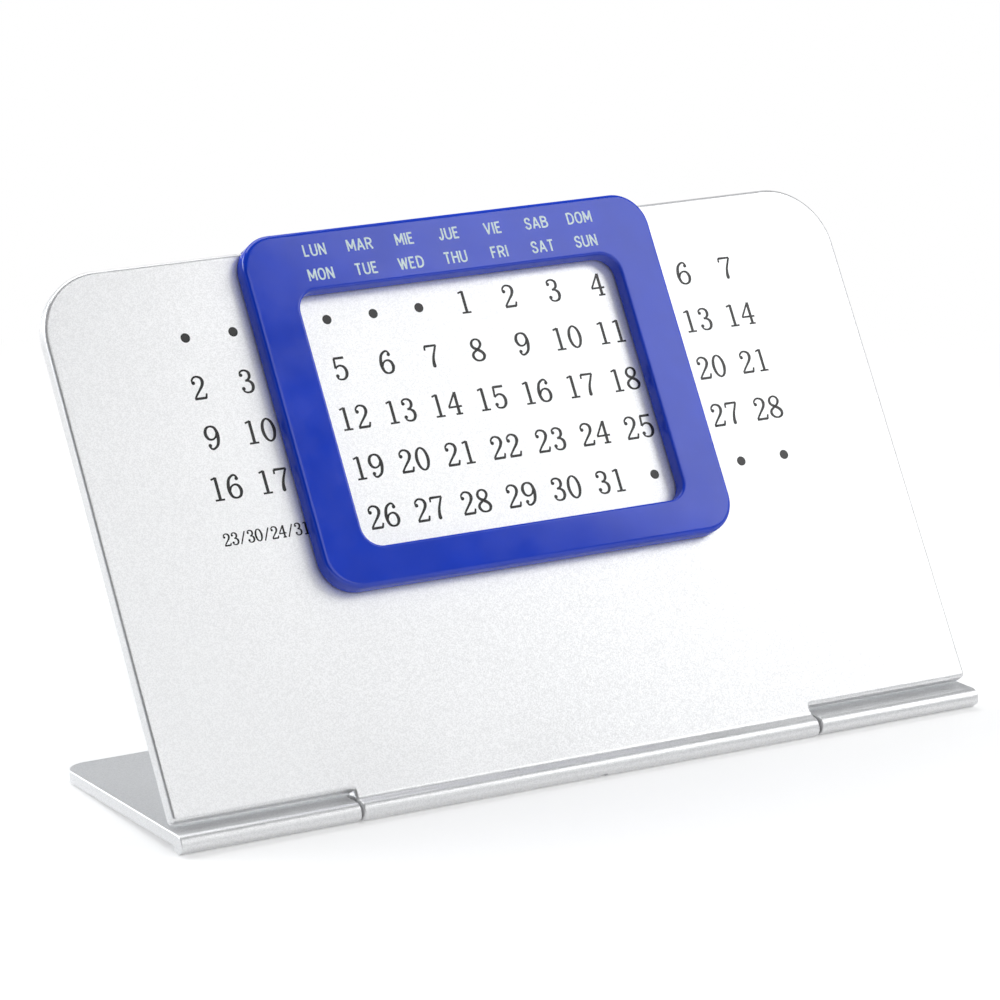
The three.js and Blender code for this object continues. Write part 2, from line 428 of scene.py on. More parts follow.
class Moulding:
    """One moulded piece, built up in millimetres from closed surfaces."""

    def __init__(self, name: str, shell: Shell) -> None:
        """Starts a piece from one surface."""
        self.piece = mesh_object(name, [shell])
        weld(self.piece.data)

    def combine(self, how: Combine, *shells: Shell) -> Moulding:
        """Adds solids to the piece, or cuts them out of it, one after another.

        Args:
            how: Whether they are added or cut out.
            *shells: The solids' surfaces.

        Returns:
            The moulding itself.
        """
        for shell in shells:
            tool = mesh_object("tool", [shell])
            shape = tool.data
            weld(shape)
            change = self.piece.modifiers.new("combine", "BOOLEAN")
            change.operation = how.value
            change.solver = "EXACT"
            change.object = tool
            settle(self.piece)
            bpy.data.objects.remove(tool)
            bpy.data.meshes.remove(shape)
        return self

    def finish(self, frame: HingeFrame) -> bpy.types.Object:
        """Puts the piece in its place and shades its rounds smooth and its flats flat.

        Args:
            frame: The frame that the piece was drawn in.

        Returns:
            The finished piece.
        """
        weld(self.piece.data)
        place_mesh(self.piece, frame)
        mesh = self.piece.data
        mesh.shade_smooth()
        mesh.set_sharp_from_angle(angle=SHARP_ANGLE)
        weighted = self.piece.modifiers.new("flats", "WEIGHTED_NORMAL")
        weighted.keep_sharp = True
        settle(self.piece)
        return self.piece


@dataclass(frozen=True)
class Knuckle:
    """The split hinge along the front: a knuckle at each end and a barrel between them.

    Attributes:
        radius: Radius of knuckles and barrel.
        length: Length of a knuckle.
        end_gap: Gap between a knuckle and the barrel.
        half_width: From the middle to the outer end of a knuckle.
        pin_hole: Radius of the blind holes for the pins.
        pin_depth: Depth of these holes.
    """

    radius: float = 1.65
    length: float = 31.75
    end_gap: float = 0.4
    half_width: float = 75.35
    pin_hole: float = 0.85
    pin_depth: float = 6.3

    @property
    def inner(self) -> float:
        """From the middle to the inner end of a knuckle."""
        return self.half_width - self.length

    @property
    def barrel_half(self) -> float:
        """From the middle to an end of the barrel."""
        return self.inner - self.end_gap

    def around(
        self, lead: float, crease: float, last: float, inset: float, step: Callable[[Array], Array]
    ) -> Array:
        """The round and the hollow that joins it to a face, seen from the hinge line.

        The hollow is an arc of the crease radius about a point that lies lead + crease out, and touches
        both the face and the round. The round is r - inset - step(a) at angle a.

        Args:
            lead: How far the face lies out from the hinge line.
            crease: Radius of the hollow.
            last: The angle at which the round ends, in radians.
            inset: How far the section is drawn in.
            step: How far the round lies back at each angle.

        Returns:
            Rows of (out past the face, along it), from the face on.
        """
        out = lead + crease
        along = math.sqrt((self.radius + crease) ** 2 - out**2)
        touch = math.atan2(along, out)
        hollow = arc((out, along), crease + inset, math.pi, math.pi + touch, CREASE_STEPS)
        angles = np.linspace(touch, last, ROUND_STEPS + 1)[1:]
        reach = self.radius - inset - step(angles)
        return np.vstack((hollow, np.column_stack((reach * np.cos(angles), reach * np.sin(angles)))))

    def hole(self, mouth: float, way: float) -> Shell:
        """A pin's blind hole, from a hinge end at `mouth` on in direction `way`, 1 or -1."""
        return bar(self.pin_hole, *sorted((mouth - way * OVERRUN, mouth + way * self.pin_depth)))


class NodeSheet:
    """Builds the nodes of one material, or of the surroundings."""

    def __init__(self, owner: bpy.types.Material | bpy.types.World) -> None:
        """Starts with no nodes."""
        self.owner = owner
        owner.use_nodes = True
        self.tree = owner.node_tree
        self.tree.nodes.clear()

    def add(self, kind: str, inputs: Inputs | None = None, **settings: object) -> bpy.types.Node:
        """Adds a node.

        Args:
            kind: The node's type, without the word ShaderNode that they all begin with.
            inputs: A value or a socket to link, by input name or number.
            **settings: The node's own settings.

        Returns:
            The node.
        """
        node = self.tree.nodes.new(f"ShaderNode{kind}")
        for name, value in settings.items():
            setattr(node, name, value)
        for name, value in (inputs or {}).items():
            if isinstance(value, Socket):
                self.tree.links.new(value, node.inputs[name])
            else:
                node.inputs[name].default_value = value
        return node

    def result(self, kind: str, inputs: Inputs | None = None, **settings: object) -> Socket:
        """The first output of a node that `add` makes."""
        return self.add(kind, inputs, **settings).outputs[0]

    def coordinates(self) -> Socket:
        """The object's own coordinates, in metres."""
        return self.add("TexCoord").outputs["Object"]

    def noise(self, size_mm: float, detail: float = 2.0) -> Socket:
        """Cloudy noise whose patches measure about `size_mm`."""
        scale = 1 / (size_mm * METRES_PER_MM)
        return self.result("TexNoise", {"Vector": self.coordinates(), "Scale": scale, "Detail": detail})

    def remap(
        self, value: Socket, source: Pair, target: Pair, **settings: object
    ) -> Socket:
        """Carries a value over from one range to another and holds it at that range's ends.

        Args:
            value: The value.
            source: Its range.
            target: The range that it goes to, which may fall.
            **settings: The node's own settings.

        Returns:
            The value in the new range.
        """
        ends = {"From Min": source[0], "From Max": source[1], "To Min": target[0], "To Max": target[1]}
        return self.result("MapRange", {"Value": value, **ends}, **settings)

    def spread(self, noise: Socket, limits: Pair) -> Socket:
        """A noise spread evenly between two limits."""
        return self.remap(noise, NOISE_RANGE, limits)

    def shades(self, noise: Socket, colour: Colour, spread: float) -> Socket:
        """A colour that a noise makes darker and lighter.

        Args:
            noise: The noise.
            colour: The colour in the middle.
            spread: The share by which it gets darker and lighter at most.

        Returns:
            The colour.
        """
        ramp = self.add("ValToRGB", {"Fac": noise})
        for stop, place, way in zip(ramp.color_ramp.elements, NOISE_RANGE, (-1, 1), strict=True):
            stop.position, stop.color = place, (*scaled(colour, 1 + way * spread), 1.0)
        return ramp.outputs[0]

    def relief(self, layers: Iterable[tuple[Socket, float]]) -> Socket:
        """Bumps a surface by noises, one on top of another.

        Args:
            layers: Noises, each with its height in micrometres.

        Returns:
            The surface normal.
        """
        below: dict[str | int, object] = {}
        for noise, micrometres in layers:
            height = micrometres * METRES_PER_MICROMETRE
            below["Normal"] = self.result("Bump", {"Height": noise, "Distance": height, **below})
        return below["Normal"]

    def surface(self, shader: Socket) -> bpy.types.Material:
        """Ends the sheet with its shader and gives the material."""
        self.add("OutputMaterial", {"Surface": shader})
        return self.owner

    def coat(self, inputs: Inputs) -> bpy.types.Material:
        """Ends the sheet with the general shader for solid surfaces and gives the material."""
        return self.surface(self.result("BsdfPrincipled", inputs))


def scaled(colour: Colour, share: float) -> Colour:
    """A colour made darker or lighter by a share."""
    return tuple(min(part * share, 1.0) for part in colour)


@dataclass(frozen=True)
class SilverSpray:
    """Moulded plastic sprayed with fine silver flake: a half metallic satin with a fine grain.

    Attributes:
        colour: Its colour in the middle.
        metallic: How metallic it is.
        roughness: Lowest and highest roughness.
        patch_mm: Size of the patches in which that differs.
        flake_mm: Size of a flake.
        flake_spread: The share by which a flake is darker or lighter at most.
        flake_tilt: How far a flake tips the surface.
        peel: Sizes in millimetres and heights in micrometres of the orange peel's waves.
    """

    colour: Colour = (0.85, 0.853, 0.86)
    metallic: float = 0.66
    roughness: Pair = (0.33, 0.39)
    patch_mm: float = 14.0
    flake_mm: float = 0.15
    flake_spread: float = 0.055
    flake_tilt: float = 0.055
    peel: tuple[Pair, ...] = ((0.9, 3.0), (0.3, 1.2))

    def material(self) -> bpy.types.Material:
        """Makes the material.

        Each flake has a random colour. Its red part sets how bright the flake is, and the whole colour,
        less one half and times the tilt, is added to the surface normal.

        Returns:
            The material.
        """
        sheet = NodeSheet(bpy.data.materials.new("silver_spray"))
        inputs = {"Vector": sheet.coordinates(), "Scale": 1 / (self.flake_mm * METRES_PER_MM)}
        flakes = sheet.add("TexVoronoi", inputs).outputs["Color"]
        glint = sheet.result("SeparateXYZ", {0: flakes})
        centred = sheet.result("VectorMath", {0: flakes, 1: (0.5, 0.5, 0.5)}, operation="SUBTRACT")
        tilt = sheet.result("VectorMath", {0: centred, "Scale": self.flake_tilt}, operation="SCALE")
        peel = sheet.relief([(sheet.noise(size), height) for size, height in self.peel])
        tipped = sheet.result("VectorMath", {0: peel, 1: tilt}, operation="ADD")
        return sheet.coat(
            {
                "Base Color": sheet.shades(glint, self.colour, self.flake_spread),
                "Metallic": self.metallic,
                "Roughness": sheet.spread(sheet.noise(self.patch_mm), self.roughness),
                "Normal": sheet.result("VectorMath", {0: tipped}, operation="NORMALIZE"),
            }
        )


@dataclass(frozen=True)
class BluePlastic:
    """Glossy royal blue moulded plastic, with a faint flow of the pigment.

    Attributes:
        colour: Its colour in the middle.
        flow: The share by which the pigment is darker or lighter at most.
        flow_mm: Size of the patches in which it is.
        roughness: Lowest and highest roughness.
        patch_mm: Size of the patches in which that differs.
        refraction: Refractive index.
        gloss: Strength of the gloss on a face seen squarely.
        edge_gloss: Its strength on a face seen edge on, where walls keep their deep colour.
        turn: How far a face is turned away where the gloss begins and stops to change.
        waves: Sizes in millimetres and heights in micrometres of a moulded face's soft waves.
    """

    colour: Colour = (0.006, 0.052, 0.66)
    flow: float = 0.06
    flow_mm: float = 9.0
    roughness: Pair = (0.1, 0.16)
    patch_mm: float = 5.0
    refraction: float = 1.55
    gloss: float = 0.5
    edge_gloss: float = 0.08
    turn: Pair = (0.4, 0.7)
    waves: tuple[Pair, ...] = ((6.0, 4.0), (0.6, 0.3))

    def material(self) -> bpy.types.Material:
        """Makes the material."""
        sheet = NodeSheet(bpy.data.materials.new("blue_plastic"))
        turned = sheet.add("LayerWeight", {"Blend": 0.5}).outputs["Facing"]
        return sheet.coat(
            {
                "Base Color": sheet.shades(sheet.noise(self.flow_mm), self.colour, self.flow),
                "Roughness": sheet.spread(sheet.noise(self.patch_mm), self.roughness),
                "IOR": self.refraction,
                "Specular IOR Level": sheet.remap(turned, self.turn, (self.gloss, self.edge_gloss)),
                "Normal": sheet.relief([(sheet.noise(size, 1.0), height) for size, height in self.waves]),
            }
        )


@dataclass(frozen=True)
class Ink:
    """Screen-printed ink: nearly flat, a little mottled.

    Attributes:
        name: The material's name.
        colour: Its colour in the middle.
        roughness: Its roughness.
        mottle: The share by which it is darker or lighter at most.
        mottle_mm: Size of the patches in which it is.
        grain_mm: Size of its grain.
        grain_height: Height of its grain in micrometres.
    """

    name: str
    colour: Colour
    roughness: float = 0.25
    mottle: float = 0.15
    mottle_mm: float = 0.35
    grain_mm: float = 0.25
    grain_height: float = 1.5

    def material(self) -> bpy.types.Material:
        """Makes the material."""
        sheet = NodeSheet(bpy.data.materials.new(self.name))
        return sheet.coat(
            {
                "Base Color": sheet.shades(sheet.noise(self.mottle_mm), self.colour, self.mottle),
                "Roughness": self.roughness,
                "Normal": sheet.relief([(sheet.noise(self.grain_mm), self.grain_height)]),
            }
        )


@dataclass(frozen=True)
class PinSteel:
    """Bright steel wire with fine lines drawn along it.

    Attributes:
        colour: Its colour in the middle.
        contrast: The share by which a line is darker or lighter at most.
        roughness: Lowest and highest roughness.
        density: Lines per metre along the wire and across it both ways.
        line_height: Height of a line in micrometres.
    """

    colour: Colour = (0.6, 0.6, 0.61)
    contrast: float = 0.1
    roughness: Pair = (0.25, 0.38)
    density: Triple = (60.0, 9000.0, 9000.0)
    line_height: float = 1.0

    def material(self) -> bpy.types.Material:
        """Makes the material."""
        sheet = NodeSheet(bpy.data.materials.new("pin_steel"))
        stretched = sheet.result("Mapping", {"Vector": sheet.coordinates(), "Scale": self.density})
        lines = sheet.result("TexNoise", {"Vector": stretched, "Scale": 1.0})
        return sheet.coat(
            {
                "Base Color": sheet.shades(lines, self.colour, self.contrast),
                "Metallic": 1.0,
                "Roughness": sheet.spread(lines, self.roughness),
                "Normal": sheet.relief([(lines, self.line_height)]),
            }
        )


def dress(piece: bpy.types.Object, material: bpy.types.Material) -> None:
    """Gives a piece one material all over."""
    piece.data.materials.clear()
    piece.data.materials.append(material)


@dataclass(frozen=True)
class Panel:
    """The printed panel with its hinge barrel."""

    width: float = 150.0
    height: float = 91.2
    thickness: float = 2.65
    top_radius: float = 11.1
    low_radius: float = 0.8
    notch_radius: float = 0.2
    front_round: float = 0.7
    back_round: float = 0.35
    face_lead: float = 0.27
    end_lift: float = 3.63
    slope: float = math.radians(30)
    barrel_crease: float = 1.25
    barrel_end_round: float = 0.5
    gate_radius: float = 0.75
    gate_depth: float = 0.25
    gate_shift: float = 1.4
    hinge: Knuckle = field(default_factory=Knuckle)

    @property
    def front(self) -> float:
        """Place of the front face."""
        return -self.face_lead

    @property
    def back(self) -> float:
        """Place of the back face."""
        return self.thickness - self.face_lead

    @property
    def top(self) -> float:
        """Height of the top edge."""
        return self.end_lift + self.height

    def slope_end(self, back: float, radius: float) -> float:
        """Height at which the slope that touches a round of this radius meets a back face."""
        return (back * math.cos(self.slope) - radius) / math.sin(self.slope)

    def leaf(self) -> Shell:
        """The flat leaf, notched at both lower ends for the base's knuckles."""
        low = self.slope_end(self.back, self.hinge.radius)
        half, barrel = self.width / 2, self.hinge.barrel_half
        corners = np.array(
            [
                [-barrel, low, self.low_radius],
                [barrel, low, self.low_radius],
                [barrel, self.end_lift, self.notch_radius],
                [half, self.end_lift, self.low_radius],
                [half, self.top, self.top_radius],
                [-half, self.top, self.top_radius],
                [-half, self.end_lift, self.low_radius],
                [-barrel, self.end_lift, self.notch_radius],
            ]
        )
        rounds = (self.back_round, self.front_round)
        leaf = slab(lambda inset: outline(corners, inset), -self.back, -self.front, rounds)
        return leaf.moved(upright)

    def foot_section(self, inset: float) -> Array:
        """The barrel in front and the slope up to the back face.

        Args:
            inset: How far the section is drawn in.

        Returns:
            Rows of (y, z).
        """
        last = self.slope - math.pi
        out = self.hinge.around(self.face_lead, self.barrel_crease, last, inset, np.zeros_like)
        front = out * (-1, 1)
        back = self.back - inset
        slope_end = self.slope_end(back, self.hinge.radius - inset)
        return np.vstack((front, [[back, slope_end], [back, front[0, 1]]]))

    def foot(self) -> Shell:
        """The barrel, from end to end."""
        half = self.hinge.barrel_half
        rounds = (self.barrel_end_round, self.barrel_end_round)
        return slab(self.foot_section, -half, half, rounds).moved(along_x)

    def gate(self) -> Shell:
        """The blind round mark that the mould leaves under the barrel."""
        floor = self.gate_depth - self.hinge.radius
        mark = circle((self.gate_shift, 0.0), self.gate_radius, PIN_STEPS)
        return prism(mark, floor - OVERRUN / 2, floor)

    def build(self, frame: HingeFrame) -> bpy.types.Object:
        """Makes the panel, whose sizes are drawn in `frame`, in its place."""
        ends = self.hinge.barrel_half
        moulding = Moulding("panel", self.leaf()).combine(Combine.ADD, self.foot())
        moulding.combine(Combine.CUT, self.hinge.hole(ends, -1), self.hinge.hole(-ends, 1), self.gate())
        return moulding.finish(frame)


@dataclass(frozen=True)
class Base:
    """The base plate with its two knuckles."""

    depth: float = 42.75
    thickness: float = 2.15
    rear_radius: float = 4.0
    edge_round: float = 0.25
    cutout_rear: float = 4.01
    cutout_radius: float = 0.6
    crease: float = 0.5
    facet: Pair = (math.radians(29), math.radians(81))
    hinge: Knuckle = field(default_factory=Knuckle)

    @property
    def top(self) -> float:
        """Height of the upper face."""
        return self.hinge.radius

    @property
    def underside(self) -> float:
        """Height of the lower face."""
        return self.top - self.thickness

    def plate(self) -> Shell:
        """The plate, cut out in front for the panel's barrel."""
        half, inner, front = self.hinge.half_width, self.hinge.inner, -self.edge_round
        corners = np.array(
            [
                [inner, front, self.edge_round],
                [half, front, self.edge_round],
                [half, self.depth, self.rear_radius],
                [-half, self.depth, self.rear_radius],
                [-half, front, self.edge_round],
                [-inner, front, self.edge_round],
                [-inner, self.cutout_rear, self.cutout_radius],
                [inner, self.cutout_rear, self.cutout_radius],
            ]
        )
        rounds = (self.edge_round, self.edge_round)
        return slab(lambda inset: outline(corners, inset), self.underside, self.top, rounds)

    def flattened(self, angles: Array) -> Array:
        """How far a knuckle's flat under its mould line lies inside the round at each angle.

        With m the facet's middle and h half its span below the front, both as angles, the flat lies
        r cos h / cos(b - m) from the hinge line at the angle b, and the depth is r less that.

        Args:
            angles: Angles round the hinge line, in radians.

        Returns:
            The depth at each angle.
        """
        first, last = self.facet
        middle, half = (first + last) / 2, (last - first) / 2
        below = angles + math.pi / 2
        inside = np.abs(below - middle) < half
        chord = math.cos(half) / np.cos(np.where(inside, below - middle, half))
        return self.hinge.radius * (1 - chord)

    def knuckle_section(self, inset: float) -> Array:
        """A knuckle, level on top and hollowed into the underside.

        Args:
            inset: How far the section is drawn in.

        Returns:
            Rows of (y, z).
        """
        out = self.hinge.around(-self.underside, self.crease, -math.pi, inset, self.flattened)
        around = np.column_stack((out[:, 1], -out[:, 0]))
        return np.vstack((around, [[around[0, 0], self.top - inset]]))[::-1]

    def knuckle(self, left: float) -> Shell:
        """A knuckle whose left end is at `left`."""
        rounds = (self.edge_round, self.edge_round)
        return slab(self.knuckle_section, left, left + self.hinge.length, rounds).moved(along_x)

    def build(self, frame: HingeFrame) -> bpy.types.Object:
        """Makes the base, whose sizes are drawn in `frame`, in its place."""
        inner = self.hinge.inner
        moulding = Moulding("base", self.plate())
        moulding.combine(Combine.ADD, self.knuckle(inner), self.knuckle(-self.hinge.half_width))
        moulding.combine(Combine.CUT, self.hinge.hole(inner, 1), self.hinge.hole(-inner, -1))
        return moulding.finish(frame)


@dataclass(frozen=True)
class WindowFrame:
    """The blue frame that hangs over the panel's top edge."""

    width: float = 77.2
    height: float = 61.2
    corner_radius: float = 6.0
    front_round: float = 0.85
    back_round: float = 0.5
    ring_thickness: float = 2.7
    bridge_thickness: float = 1.2
    lip_thickness: float = 1.5
    lip_height: float = 12.0
    lip_corner: float = 3.0
    window_width: float = 60.9
    window_height: float = 44.25
    window_lift: float = 6.5
    window_corner: float = 3.5
    window_round: float = 0.5
    clearance: float = 0.3
    panel: Panel = field(default_factory=Panel)

    @property
    def slot_top(self) -> float:
        """Height of the slot that takes the panel's top edge."""
        return self.panel.top + self.clearance

    @property
    def top(self) -> float:
        """Height of the frame's top."""
        return self.slot_top + self.bridge_thickness

    @property
    def low(self) -> float:
        """Height of the frame's lower edge."""
        return self.top - self.height

    @property
    def ring_back(self) -> float:
        """Place of the ring's back, just ahead of the panel."""
        return self.panel.front - self.clearance

    @property
    def ring_front(self) -> float:
        """Place of the ring's front face."""
        return self.ring_back - self.ring_thickness

    @property
    def lip_front(self) -> float:
        """Place of the lip's face, just behind the panel."""
        return self.panel.back + self.clearance

    def outer(self, inset: float) -> Array:
        """The frame's outline, drawn in by `inset`."""
        half, radii = self.width / 2, (self.corner_radius, self.corner_radius)
        return outline(rectangle(half, self.low, self.top, radii), inset)

    def window(self, inset: float) -> Array:
        """The window's outline, drawn in by `inset`."""
        half, low = self.window_width / 2, self.low + self.window_lift
        radii = (self.window_corner, self.window_corner)
        return outline(rectangle(half, low, low + self.window_height, radii), inset)

    def ring(self) -> Shell:
        """The ring: one profile carried round outline and window.

        It goes up the outer wall, round the front edge, over the face to the window, round the
        window's edge and down its wall to the back.
        """
        front_edge = rounded_edge(-self.ring_front, self.front_round, -1)[::-1]
        window_edge = rounded_edge(-self.ring_front, self.window_round, -1) * (1, -1)
        back = np.array([[-self.ring_back, 0.0]])
        outer = stack(self.outer, np.vstack((back, front_edge)))
        inner = stack(self.window, np.vstack((window_edge, back)))
        return skin(np.concatenate((outer, inner)), looped=True).moved(upright)

    def cap(self) -> Shell:
        """The whole outline from the ring's wall back to the lip's rounded edge."""
        low = self.back_round - self.lip_front - self.lip_thickness
        return prism(self.outer(0.0), low, -self.ring_front - self.front_round).moved(upright)

    def below_bridge(self) -> Shell:
        """A block that takes all of the cap but the bridge away."""
        half, back = self.width / 2 + OVERRUN, self.lip_front + self.lip_thickness + OVERRUN
        corners = rectangle(half, self.low - OVERRUN, self.slot_top, (0.0, 0.0))[:, :2]
        return prism(corners, -back, OVERRUN - self.ring_front).moved(upright)

    def lip(self) -> Shell:
        """The lip behind the panel."""
        half, low = self.width / 2, self.top - self.lip_height
        corners = rectangle(half, low, self.top, (self.lip_corner, self.corner_radius))
        back = self.lip_front + self.lip_thickness
        levels = np.vstack((rounded_edge(-back, self.back_round, 1), [[-self.lip_front, 0.0]]))
        return skin(stack(lambda inset: outline(corners, inset), levels)).moved(upright)

    def build(self, frame: HingeFrame) -> bpy.types.Object:
        """Makes the frame, whose sizes are drawn in `frame`, in its place."""
        moulding = Moulding("window_frame", self.cap()).combine(Combine.CUT, self.below_bridge())
        return moulding.combine(Combine.ADD, self.ring(), self.lip()).finish(frame)


class Line(Enum):
    """How a pen stroke runs through its points."""

    STRAIGHT = "straight"
    FLOWING = "flowing"
    LOOP = "loop"


@dataclass(frozen=True)
class Stroke:
    """A pen stroke.

    Attributes:
        points: Points (x, y, pen width) that it runs through.
        line: How it runs through them.
        samples: Points along a curve from one of them to the next.
    """

    points: tuple[Triple, ...]
    line: Line = Line.FLOWING
    samples: int = 6

    def path(self) -> Array:
        """The points along the stroke.

        A flowing line is a Catmull-Rom spline: between points b and c, with a before and d after, it is
        (2b + (c - a) t + (2a - 5b + 4c - d) t^2 + (3b - a - 3c + d) t^3) / 2.

        Returns:
            Rows of (x, y, width).
        """
        knots = np.asarray(self.points)
        if self.line is Line.STRAIGHT:
            return knots
        if self.line is Line.LOOP:
            a, b, c, d = (np.roll(knots, shift, axis=0) for shift in (1, 0, -1, -2))
        else:
            first, last = 2 * knots[0] - knots[1], 2 * knots[-1] - knots[-2]
            padded = np.vstack((first, knots, last))
            a, b, c, d = padded[:-3], padded[1:-2], padded[2:-1], padded[3:]
        t = np.linspace(0.0, 1.0, self.samples, endpoint=False)[None, :, None]
        a, b, c, d = (part[:, None, :] for part in (a, b, c, d))
        curve = 2 * b + (c - a) * t + (2 * a - 5 * b + 4 * c - d) * t**2 + (3 * b - a - 3 * c + d) * t**3
        path = (curve / 2).reshape(-1, 3)
        return path if self.line is Line.LOOP else np.vstack((path, knots[-1:]))

    def shell(self, low: float, high: float) -> Shell:
        """The stroke as a closed strip of ink: its path, half its width to both sides along the normal.

        Args:
            low: Height of its underside.
            high: Height of its face.

        Returns:
            The closed surface.
        """
        path = self.path()
        looped = self.line is Line.LOOP
        ahead = np.roll(path, -1, axis=0) if looped else np.vstack((path[1:], path[-1:]))
        behind = np.roll(path, 1, axis=0) if looped else np.vstack((path[:1], path[:-1]))
        way = unit((ahead - behind)[:, :2])
        side = np.column_stack((-way[:, 1], way[:, 0])) * path[:, 2:] / 2
        left, right = path[:, :2] + side, path[:, :2] - side
        turns = ((left, low), (right, low), (right, high), (left, high))
        corners = [np.column_stack((edge, np.full(len(path), height))) for edge, height in turns]
        return skin(np.stack(corners, axis=1), looped=looped)


@dataclass(frozen=True)
class Dot:
    """A round dab of ink about (x, y), drawn with a number of sides."""

    x: float
    y: float
    radius: float
    sides: int = 18

    def shell(self, low: float, high: float) -> Shell:
        """The dab as a thin disc, from height `low` to `high`."""
        return prism(circle((self.x, self.y), self.radius, self.sides), low, high)


Mark = Stroke | Dot
Glyph = tuple[Mark, ...]


def hundredths(*points: tuple[int, ...]) -> tuple[tuple[float, ...], ...]:
    """Points given in whole hundredths, as numbers."""
    return tuple(tuple(number / 100 for number in point) for point in points)


def straight(*points: tuple[int, int, int]) -> Stroke:
    """A straight stroke, in hundredths of a millimetre."""
    return Stroke(hundredths(*points), Line.STRAIGHT)


def flowing(*points: tuple[int, int, int]) -> Stroke:
    """A curved stroke, in hundredths of a millimetre."""
    return Stroke(hundredths(*points))


def loop(*points: tuple[int, int, int]) -> Stroke:
    """A closed curved stroke, in hundredths of a millimetre."""
    return Stroke(hundredths(*points), Line.LOOP)


def dab(x: int, y: int, radius: int) -> Dot:
    """A dot, in hundredths of a millimetre."""
    return Dot(*hundredths((x, y, radius))[0])


def placed(mark: Mark, scale: Pair, origin: Pair, shift: Pair, pen_scale: float = 1.0) -> Mark:
    """Sizes and moves a mark: (x - origin) scale + shift, both across and up.

    Args:
        mark: The mark.
        scale: What places are multiplied by.
        origin: The point of its own frame that goes to `shift`.
        shift: Where that point goes.
        pen_scale: What the pen's width is multiplied by.

    Returns:
        The mark at its size and place.
    """

    def place(x: float, y: float) -> Pair:
        """Where a point goes."""
        return (x - origin[0]) * scale[0] + shift[0], (y - origin[1]) * scale[1] + shift[1]

    if isinstance(mark, Dot):
        x, y = place(mark.x, mark.y)
        return replace(mark, x=x, y=y, radius=mark.radius * pen_scale)
    return replace(mark, points=tuple((*place(x, y), pen * pen_scale) for x, y, pen in mark.points))


def upside_down(glyph: Glyph, height: float) -> Glyph:
    """A glyph turned by half a turn about its middle."""
    return tuple(placed(mark, (-1.0, -1.0), (0.0, 0.0), (0.0, height)) for mark in glyph)


NUMERAL_HEIGHT = 4.15

SIX: Glyph = (
    dab(72, 344, 32),
    flowing(
        (86, 358, 32), (54, 402, 36), (4, 404, 38), (-68, 346, 48), (-104, 235, 58), (-106, 130, 58),
        (-74, 38, 46), (2, 8, 34), (74, 40, 46), (105, 128, 58), (76, 214, 48), (12, 242, 34),
        (-56, 212, 34), (-96, 140, 36),
    ),
)

NUMERALS: dict[str, Glyph] = {
    "0": (
        loop(
            (0, 407, 33), (65, 362, 46), (100, 260, 56), (100, 155, 56), (65, 52, 46), (0, 8, 33),
            (-65, 52, 46), (-100, 155, 56), (-100, 260, 56), (-65, 362, 46),
        ),
    ),
    "1": (
        straight((6, 10, 54), (6, 410, 54)),
        straight((12, 406, 34), (-78, 376, 32)),
        straight((-84, 9, 33), (90, 9, 33)),
    ),
    "2": (
        dab(-74, 300, 33),
        flowing(
            (-93, 302, 28), (-88, 355, 33), (-45, 398, 35), (10, 406, 35), (72, 375, 48), (93, 308, 58),
            (66, 235, 50), (5, 160, 40), (-60, 85, 36), (-106, 22, 36),
        ),
        straight((-116, 15, 44), (98, 15, 44)),
        straight((90, 10, 40), (117, 92, 32)),
    ),
    "3": (
        dab(-74, 328, 32),
        dab(-82, 82, 33),
        flowing(
            (-92, 332, 28), (-80, 378, 33), (-30, 405, 34), (30, 398, 38), (74, 355, 52), (74, 285, 52),
            (35, 236, 40), (-20, 220, 33),
        ),
        flowing(
            (-20, 220, 33), (45, 208, 40), (92, 160, 56), (96, 90, 56), (60, 28, 44), (-5, 8, 34),
            (-68, 26, 33), (-100, 76, 28),
        ),
    ),
    "4": (
        straight((50, 408, 36), (-120, 150, 34)),
        straight((-130, 144, 35), (130, 144, 35)),
        straight((50, 10, 54), (50, 412, 54)),
        straight((-16, 9, 33), (114, 9, 33)),
    ),
    "5": (
        dab(-86, 78, 33),
        straight((-84, 398, 44), (108, 398, 44)),
        straight((-76, 400, 40), (-90, 216, 40)),
        flowing(
            (-90, 212, 31), (-50, 246, 34), (5, 260, 36), (70, 228, 48), (100, 150, 58), (86, 72, 54),
            (40, 20, 40), (-16, 8, 34), (-76, 26, 33), (-103, 72, 28),
        ),
    ),
    "6": SIX,
    "7": (
        straight((-110, 396, 46), (116, 396, 36)),
        straight((-106, 400, 38), (-116, 320, 31)),
        flowing((108, 396, 40), (64, 300, 40), (22, 205, 46), (0, 120, 54), (-6, 62, 62), (-6, 30, 66)),
        dab(-6, 28, 33),
    ),
    "8": (
        loop(
            (0, 406, 33), (58, 380, 42), (80, 320, 50), (50, 258, 42), (-10, 212, 38), (-90, 160, 44),
            (-114, 98, 54), (-76, 32, 42), (-4, 9, 33), (70, 34, 44), (100, 102, 56), (66, 166, 56),
            (-4, 214, 54), (-74, 260, 52), (-94, 320, 52), (-64, 382, 40),
        ),
    ),
    "9": upside_down(SIX, NUMERAL_HEIGHT),
    "/": (straight((-100, -10, 38), (100, 410, 38)),),
}

CAPITAL_HEIGHT = 1.96
CAPITAL_PEN = 0.32
CAPITAL_SAMPLES = 4


